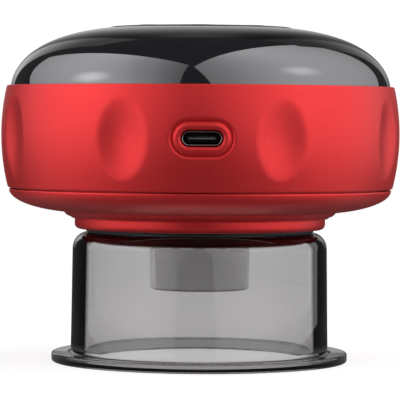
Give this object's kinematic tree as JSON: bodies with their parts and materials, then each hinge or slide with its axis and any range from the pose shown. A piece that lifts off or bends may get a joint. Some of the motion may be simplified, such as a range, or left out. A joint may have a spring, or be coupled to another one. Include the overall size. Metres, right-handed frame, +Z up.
{
  "type": "electric cupping massager",
  "caption": "Handheld vacuum head with a domed top and a barrel body with finger dimples, standing on a clear suction cup that it lifts off.",
  "frame": {"origin": "centre of the cup's mouth, on the surface that its flange stands on", "axes": "+Z up along the axis of the cup and body, -Y out of the charging socket, +X to the right of the socket as seen from the front"},
  "size_m": [0.093, 0.093, 0.0787],
  "materials": {
    "smoked_plastic": "clear smoked, polished",
    "lens_smoke": "smoked, faintly frosted",
    "red_satin": "satin metallic red",
    "black_gloss": "mirror gloss",
    "black_panel": "gloss",
    "black_rubber": "matte",
    "clear_rubber": "milky",
    "white_plastic": "matte",
    "black_plastic": "matte",
    "circuit_board": "green mask",
    "steel": "plated",
    "magnet": "matte",
    "aluminium": "satin",
    "copper": "wound copper",
    "red_lamp": "clear red",
    "cell_wrap": "blue sleeve over the can"
  },
  "bodies": {
    "cup": {"suction_cup": "smoked_plastic"},
    "housing": {"cup_seal": "black_rubber", "spigot_ring": "black_rubber", "neck_collar": "red_satin", "inlet_filter": "white_plastic", "air_nipple": "white_plastic", "neck_screw_1": "steel", "neck_screw_2": "steel", "neck_screw_3": "steel", "neck_screw_4": "steel", "lamp_lens": "lens_smoke", "red_lamp_1": "red_lamp", "red_lamp_2": "red_lamp", "red_lamp_3": "red_lamp", "red_lamp_4": "red_lamp", "red_lamp_5": "red_lamp", "lamp_board": "circuit_board", "warm_disc": "aluminium", "ring_magnet": "magnet", "lamp_retainer": "black_plastic", "lower_cover": "red_satin", "main_shell": "red_satin", "top_cover": "black_gloss", "control_panel": "black_panel", "tact_switch_1": "black_plastic", "tact_switch_2": "black_plastic", "tact_switch_3": "black_plastic", "control_board": "circuit_board", "display_module": "black_plastic", "board_screw_1": "steel", "board_screw_2": "steel", "board_screw_3": "steel", "port_bezel": "red_satin", "usb_shell": "steel", "usb_tongue": "black_plastic", "charge_board": "circuit_board", "chassis": "black_plastic", "battery_cell": "cell_wrap", "pump_can": "steel", "motor_magnet": "magnet", "pump_head": "black_plastic", "pump_diaphragm": "clear_rubber", "pump_cap": "black_plastic", "valve_body": "white_plastic", "valve_spring": "steel", "air_tee": "white_plastic", "intake_hose": "clear_rubber", "pump_hose": "clear_rubber", "valve_hose": "clear_rubber"},
    "power_button": {"power_key": "black_panel"},
    "suction_button": {"suction_key": "black_panel"},
    "heat_button": {"heat_key": "black_panel"},
    "rotor": {"pump_rotor": "copper", "eccentric_hub": "white_plastic", "crank_pin": "steel"},
    "wobble": {"wobble_plate": "white_plastic"},
    "plunger": {"valve_plunger": "steel"}
  },
  "joints": [
    {"name": "housing_lift", "type": "slide", "parent": "cup", "child": "housing", "axis": [0, 0, 1], "range_m": [0, 0.014]},
    {"name": "power_press", "type": "slide", "parent": "housing", "child": "power_button", "axis": [0, 0, -1], "range_m": [0, 0.0005], "stiffness_N_per_m": 2000},
    {"name": "suction_press", "type": "slide", "parent": "housing", "child": "suction_button", "axis": [0, 0, -1], "range_m": [0, 0.0005], "stiffness_N_per_m": 2000},
    {"name": "heat_press", "type": "slide", "parent": "housing", "child": "heat_button", "axis": [0, 0, -1], "range_m": [0, 0.0005], "stiffness_N_per_m": 2000},
    {"name": "pump_spin", "type": "hinge", "parent": "housing", "child": "rotor", "pos_m": [0, -0.0159, 0.0558], "axis": [1, 0, 0], "continuous": true},
    {"name": "wobble_turn", "type": "hinge", "parent": "rotor", "child": "wobble", "pos_m": [0.017, -0.0159, 0.0558], "axis": [0.9962, 0, -0.0872], "continuous": true},
    {"name": "valve_pull", "type": "slide", "parent": "housing", "child": "plunger", "axis": [0, 0, -1], "range_m": [0, 0.0012], "stiffness_N_per_m": 300, "deforming": ["valve_spring"]}
  ],
  "couplings": [
    {"joint": "wobble_turn", "follows": "pump_spin", "ratio": -1}
  ]
}
